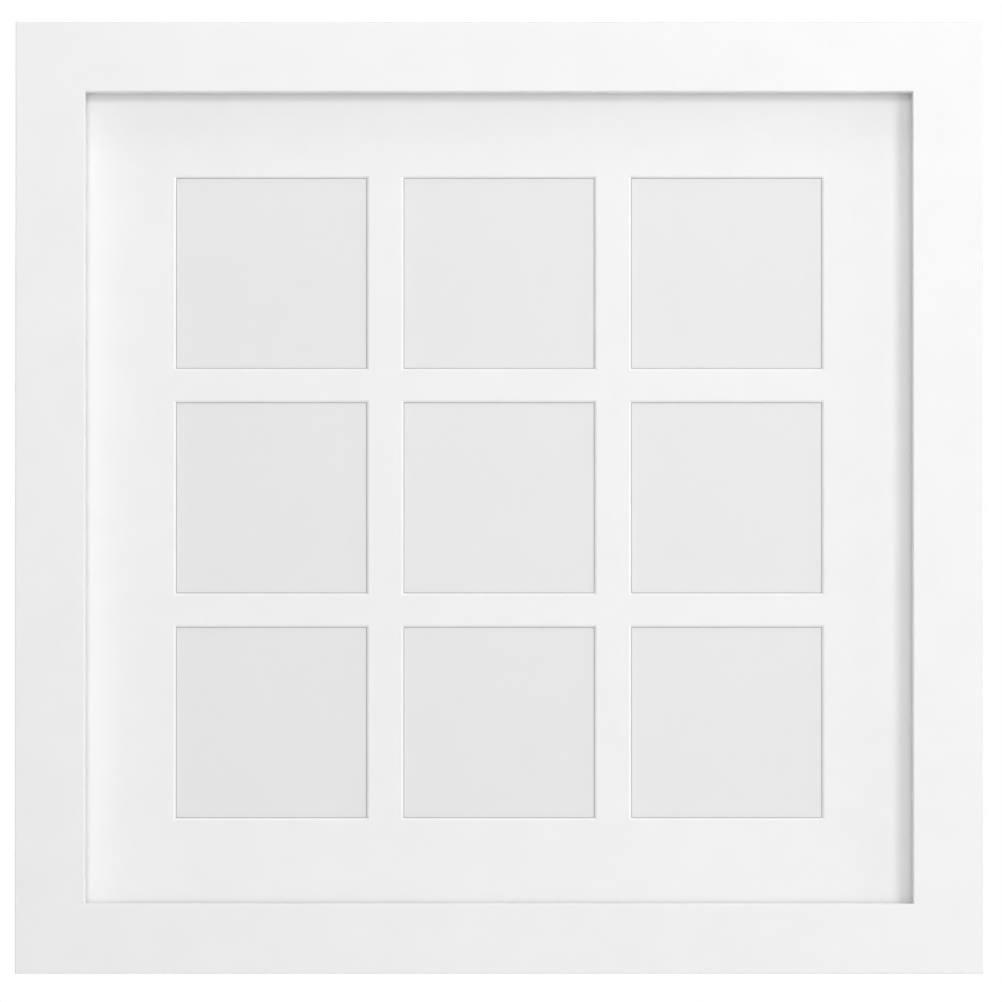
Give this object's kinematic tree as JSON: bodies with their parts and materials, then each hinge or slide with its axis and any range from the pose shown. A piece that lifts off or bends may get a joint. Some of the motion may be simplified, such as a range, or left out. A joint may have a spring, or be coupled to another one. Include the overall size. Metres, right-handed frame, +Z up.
{
  "type": "collage photo frame",
  "caption": "Shallow box frame of mitred flat rails with a bevel-cut multi-window mat behind glazing, turn buttons and hanging rings on its back.",
  "frame": {"origin": "centre of the frame's outline, in the plane of the rails' back faces, where it hangs against a wall", "axes": "+X to the viewer's right, +Z up, the frame faces -Y and its back faces +Y"},
  "size_m": [0.485, 0.024, 0.477],
  "materials": {
    "painted_rail": "smooth satin white paint on the face and edges, bare fibreboard behind",
    "nail_steel": "plain steel strip",
    "glazing": "clear polished",
    "mat_white": "matt white board with bevel-cut window edges",
    "blank_print": "plain light grey card",
    "backing_card": "grey board",
    "hardboard": "smooth brown hardboard",
    "zinc_plate": "zinc plated",
    "screw_steel": "zinc plated",
    "ring_wire": "bright nickel",
    "soft_bumper": "soft white"
  },
  "bodies": {
    "frame": {"top_rail": "painted_rail", "bottom_rail": "painted_rail", "left_rail": "painted_rail", "right_rail": "painted_rail", "corner_nails_top_left": "nail_steel", "corner_nails_top_right": "nail_steel", "corner_nails_bottom_left": "nail_steel", "corner_nails_bottom_right": "nail_steel", "glazing_sheet": "glazing", "mat_board": "mat_white", "photo_card_1": "blank_print", "photo_card_2": "blank_print", "photo_card_3": "blank_print", "photo_card_4": "blank_print", "photo_card_5": "blank_print", "photo_card_6": "blank_print", "photo_card_7": "blank_print", "photo_card_8": "blank_print", "photo_card_9": "blank_print", "backing_card": "backing_card", "back_panel": "hardboard", "turn_button_screws": "screw_steel", "hanger_strap_left": "zinc_plate", "hanger_strap_right": "zinc_plate", "hanger_screws": "screw_steel", "wall_bumper_top_left": "soft_bumper", "wall_bumper_top_right": "soft_bumper", "wall_bumper_bottom_left": "soft_bumper", "wall_bumper_bottom_right": "soft_bumper"},
    "turn_button_top_left": {"turn_button_top_left": "zinc_plate"},
    "turn_button_top_right": {"turn_button_top_right": "zinc_plate"},
    "turn_button_right_upper": {"turn_button_right_upper": "zinc_plate"},
    "turn_button_right_lower": {"turn_button_right_lower": "zinc_plate"},
    "turn_button_bottom_right": {"turn_button_bottom_right": "zinc_plate"},
    "turn_button_bottom_left": {"turn_button_bottom_left": "zinc_plate"},
    "turn_button_left_lower": {"turn_button_left_lower": "zinc_plate"},
    "turn_button_left_upper": {"turn_button_left_upper": "zinc_plate"},
    "hanger_ring_left": {"hanger_ring_left": "ring_wire"},
    "hanger_ring_right": {"hanger_ring_right": "ring_wire"}
  },
  "joints": [
    {"name": "turn_button_top_left_swivel", "type": "hinge", "parent": "frame", "child": "turn_button_top_left", "pos_m": [-0.12, 0.0006, 0.2177], "axis": [0, 1, 0], "continuous": true},
    {"name": "turn_button_top_right_swivel", "type": "hinge", "parent": "frame", "child": "turn_button_top_right", "pos_m": [0.12, 0.0006, 0.2177], "axis": [0, 1, 0], "continuous": true},
    {"name": "turn_button_right_upper_swivel", "type": "hinge", "parent": "frame", "child": "turn_button_right_upper", "pos_m": [0.2217, 0.0006, 0.135], "axis": [0, 1, 0], "continuous": true},
    {"name": "turn_button_right_lower_swivel", "type": "hinge", "parent": "frame", "child": "turn_button_right_lower", "pos_m": [0.2217, 0.0006, -0.135], "axis": [0, 1, 0], "continuous": true},
    {"name": "turn_button_bottom_right_swivel", "type": "hinge", "parent": "frame", "child": "turn_button_bottom_right", "pos_m": [0.12, 0.0006, -0.2177], "axis": [0, 1, 0], "continuous": true},
    {"name": "turn_button_bottom_left_swivel", "type": "hinge", "parent": "frame", "child": "turn_button_bottom_left", "pos_m": [-0.12, 0.0006, -0.2177], "axis": [0, 1, 0], "continuous": true},
    {"name": "turn_button_left_lower_swivel", "type": "hinge", "parent": "frame", "child": "turn_button_left_lower", "pos_m": [-0.2217, 0.0006, -0.135], "axis": [0, 1, 0], "continuous": true},
    {"name": "turn_button_left_upper_swivel", "type": "hinge", "parent": "frame", "child": "turn_button_left_upper", "pos_m": [-0.2217, 0.0006, 0.135], "axis": [0, 1, 0], "continuous": true},
    {"name": "hanger_ring_left_swing", "type": "hinge", "parent": "frame", "child": "hanger_ring_left", "pos_m": [-0.2281, 0.00188, 0.092], "axis": [1, 0, 0], "range_deg": [0, 178]},
    {"name": "hanger_ring_right_swing", "type": "hinge", "parent": "frame", "child": "hanger_ring_right", "pos_m": [0.2281, 0.00188, 0.092], "axis": [1, 0, 0], "range_deg": [0, 178]}
  ]
}
